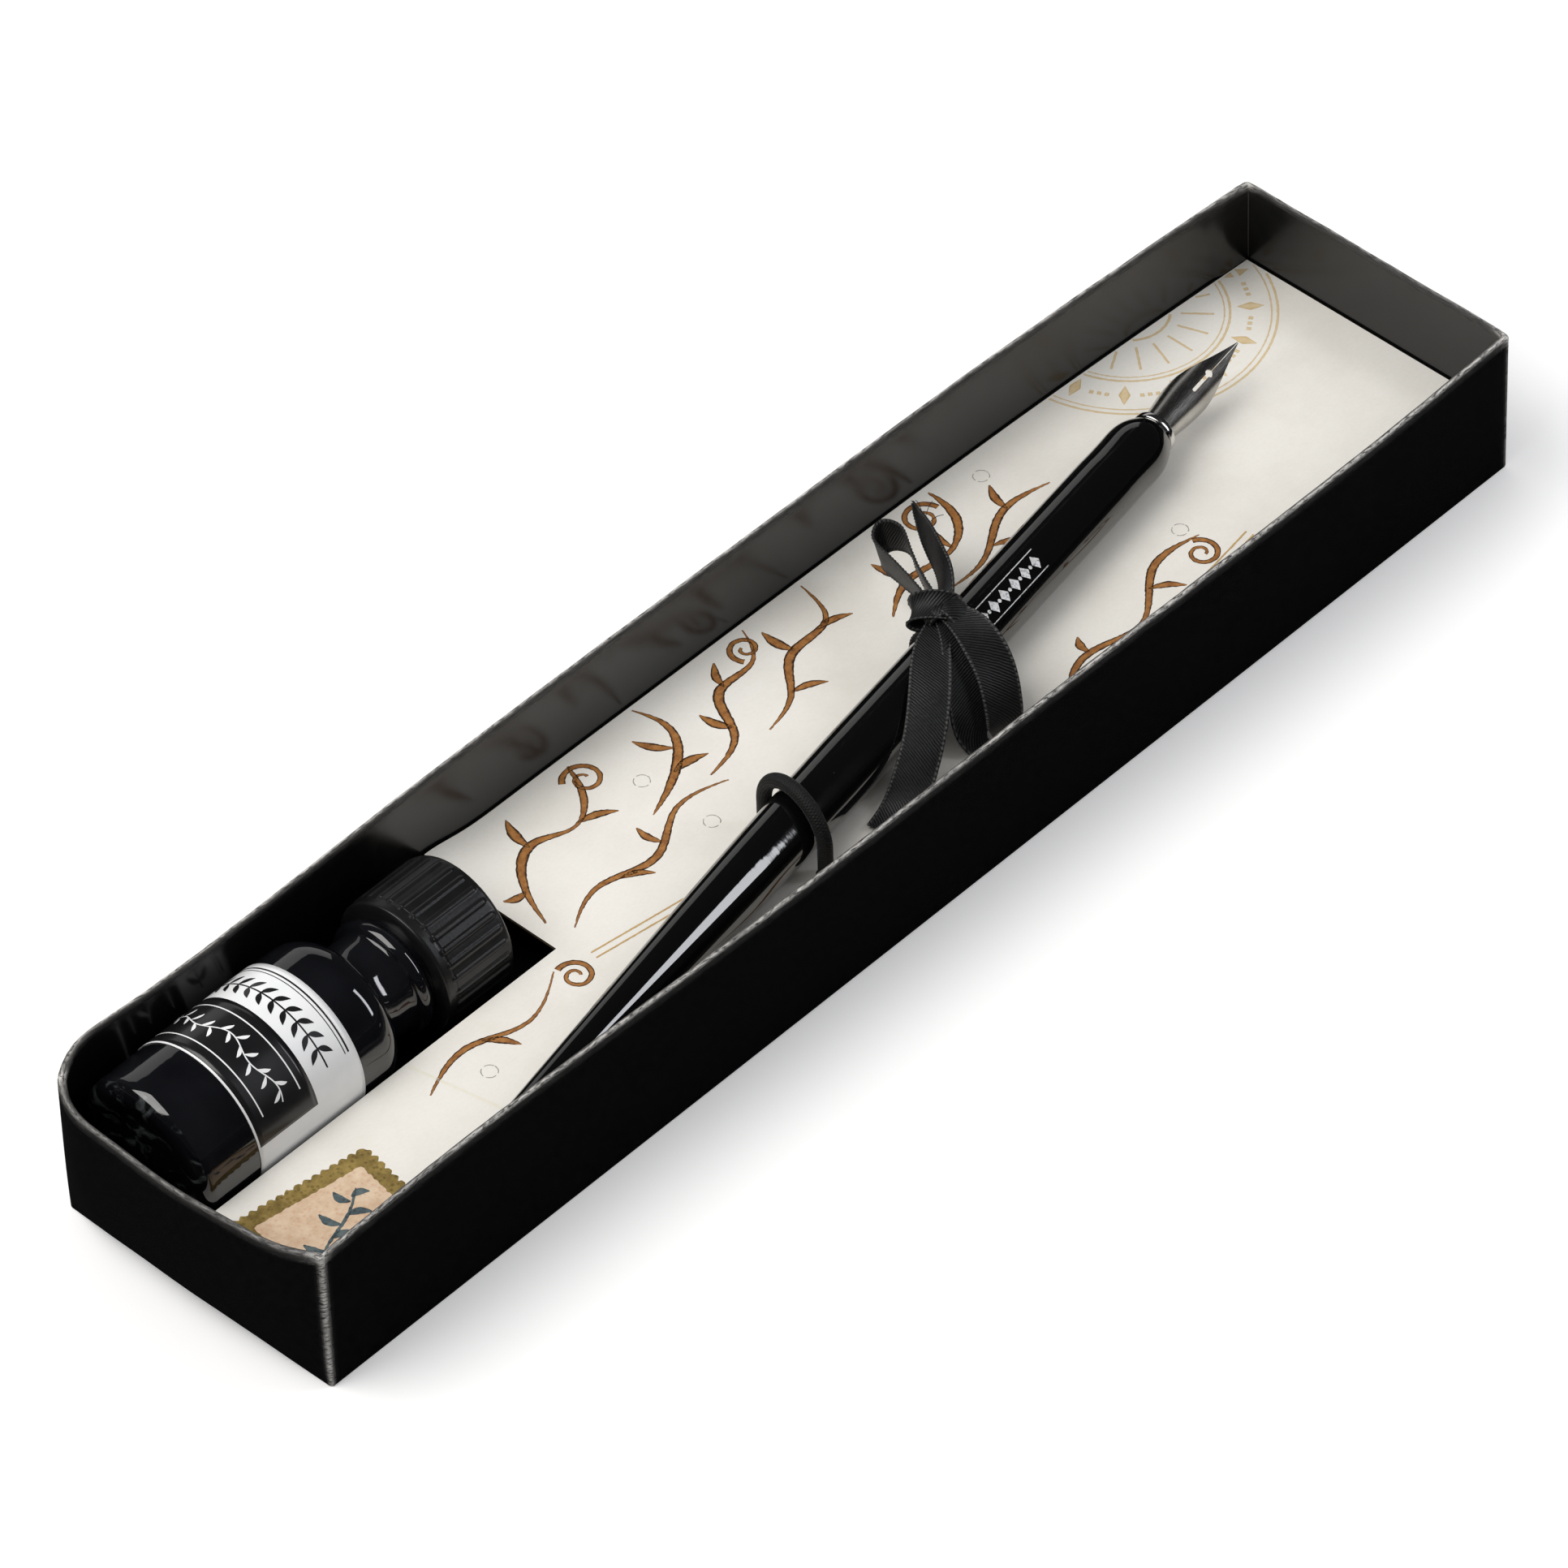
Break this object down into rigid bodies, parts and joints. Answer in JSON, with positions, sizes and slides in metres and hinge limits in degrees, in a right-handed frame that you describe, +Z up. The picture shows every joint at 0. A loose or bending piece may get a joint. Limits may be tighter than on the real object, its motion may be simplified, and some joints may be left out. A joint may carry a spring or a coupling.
{
  "type": "calligraphy set box",
  "caption": "Open carton tray with a printed card platform that holds a dip pen under an elastic and a ribbon bow, beside an ink bottle lying in a bay.",
  "frame": {"origin": "centre of the tray's underside", "axes": "+X along the tray towards the end that the nib points to, +Y towards the wall beside the bottle, +Z up out of the tray"},
  "size_m": [0.2446, 0.0542, 0.0257],
  "materials": {
    "tray_board": "gloss laminate, matt inside",
    "printed_card": "uncoated, printed",
    "elastic": "braided",
    "ribbon": "satin",
    "holder_lacquer": "high gloss",
    "sleeve_chrome": "polished",
    "spring_steel": "plain",
    "nib_steel": "bright steel",
    "bottle_glass": "gloss",
    "ink_liquid": "wet",
    "label_paper": "coated",
    "cap_plastic": "satin",
    "liner_foam": "plain"
  },
  "bodies": {
    "tray": {"tray": "tray_board"},
    "insert": {"insert_card": "printed_card", "elastic_cord": "elastic", "ribbon_bow": "ribbon"},
    "pen": {"pen_holder": "holder_lacquer", "ferrule_sleeve": "sleeve_chrome", "nib_clip": "spring_steel"},
    "nib": {"nib": "nib_steel"},
    "bottle": {"ink_bottle": "bottle_glass", "ink": "ink_liquid", "bottle_label": "label_paper"},
    "cap_carrier": {"cap_liner": "liner_foam"},
    "cap": {"screw_cap": "cap_plastic"}
  },
  "joints": [
    {"name": "insert_lift", "type": "slide", "parent": "tray", "child": "insert", "axis": [0, 0, 1], "range_m": [0, 0.035]},
    {"name": "bottle_lift", "type": "slide", "parent": "tray", "child": "bottle", "axis": [0, 0, 1], "range_m": [0, 0.035]},
    {"name": "pen_slide", "type": "slide", "parent": "insert", "child": "pen", "axis": [0.986, 0.1668, 0], "range_m": [0, 0.01]},
    {"name": "nib_pull", "type": "slide", "parent": "pen", "child": "nib", "axis": [0.986, 0.1668, 0], "range_m": [0, 0.008]},
    {"name": "cap_rise", "type": "slide", "parent": "bottle", "child": "cap_carrier", "axis": [1, 0, 0], "range_m": [0, 0.0045]},
    {"name": "cap_turn", "type": "hinge", "parent": "cap_carrier", "child": "cap", "pos_m": [-0.06, 0.0143, 0.0129], "axis": [1, 0, 0], "range_deg": [0, 540]}
  ],
  "couplings": [
    {"joint": "cap_rise", "follows": "cap_turn", "m_per_rad": 0.00047746}
  ]
}
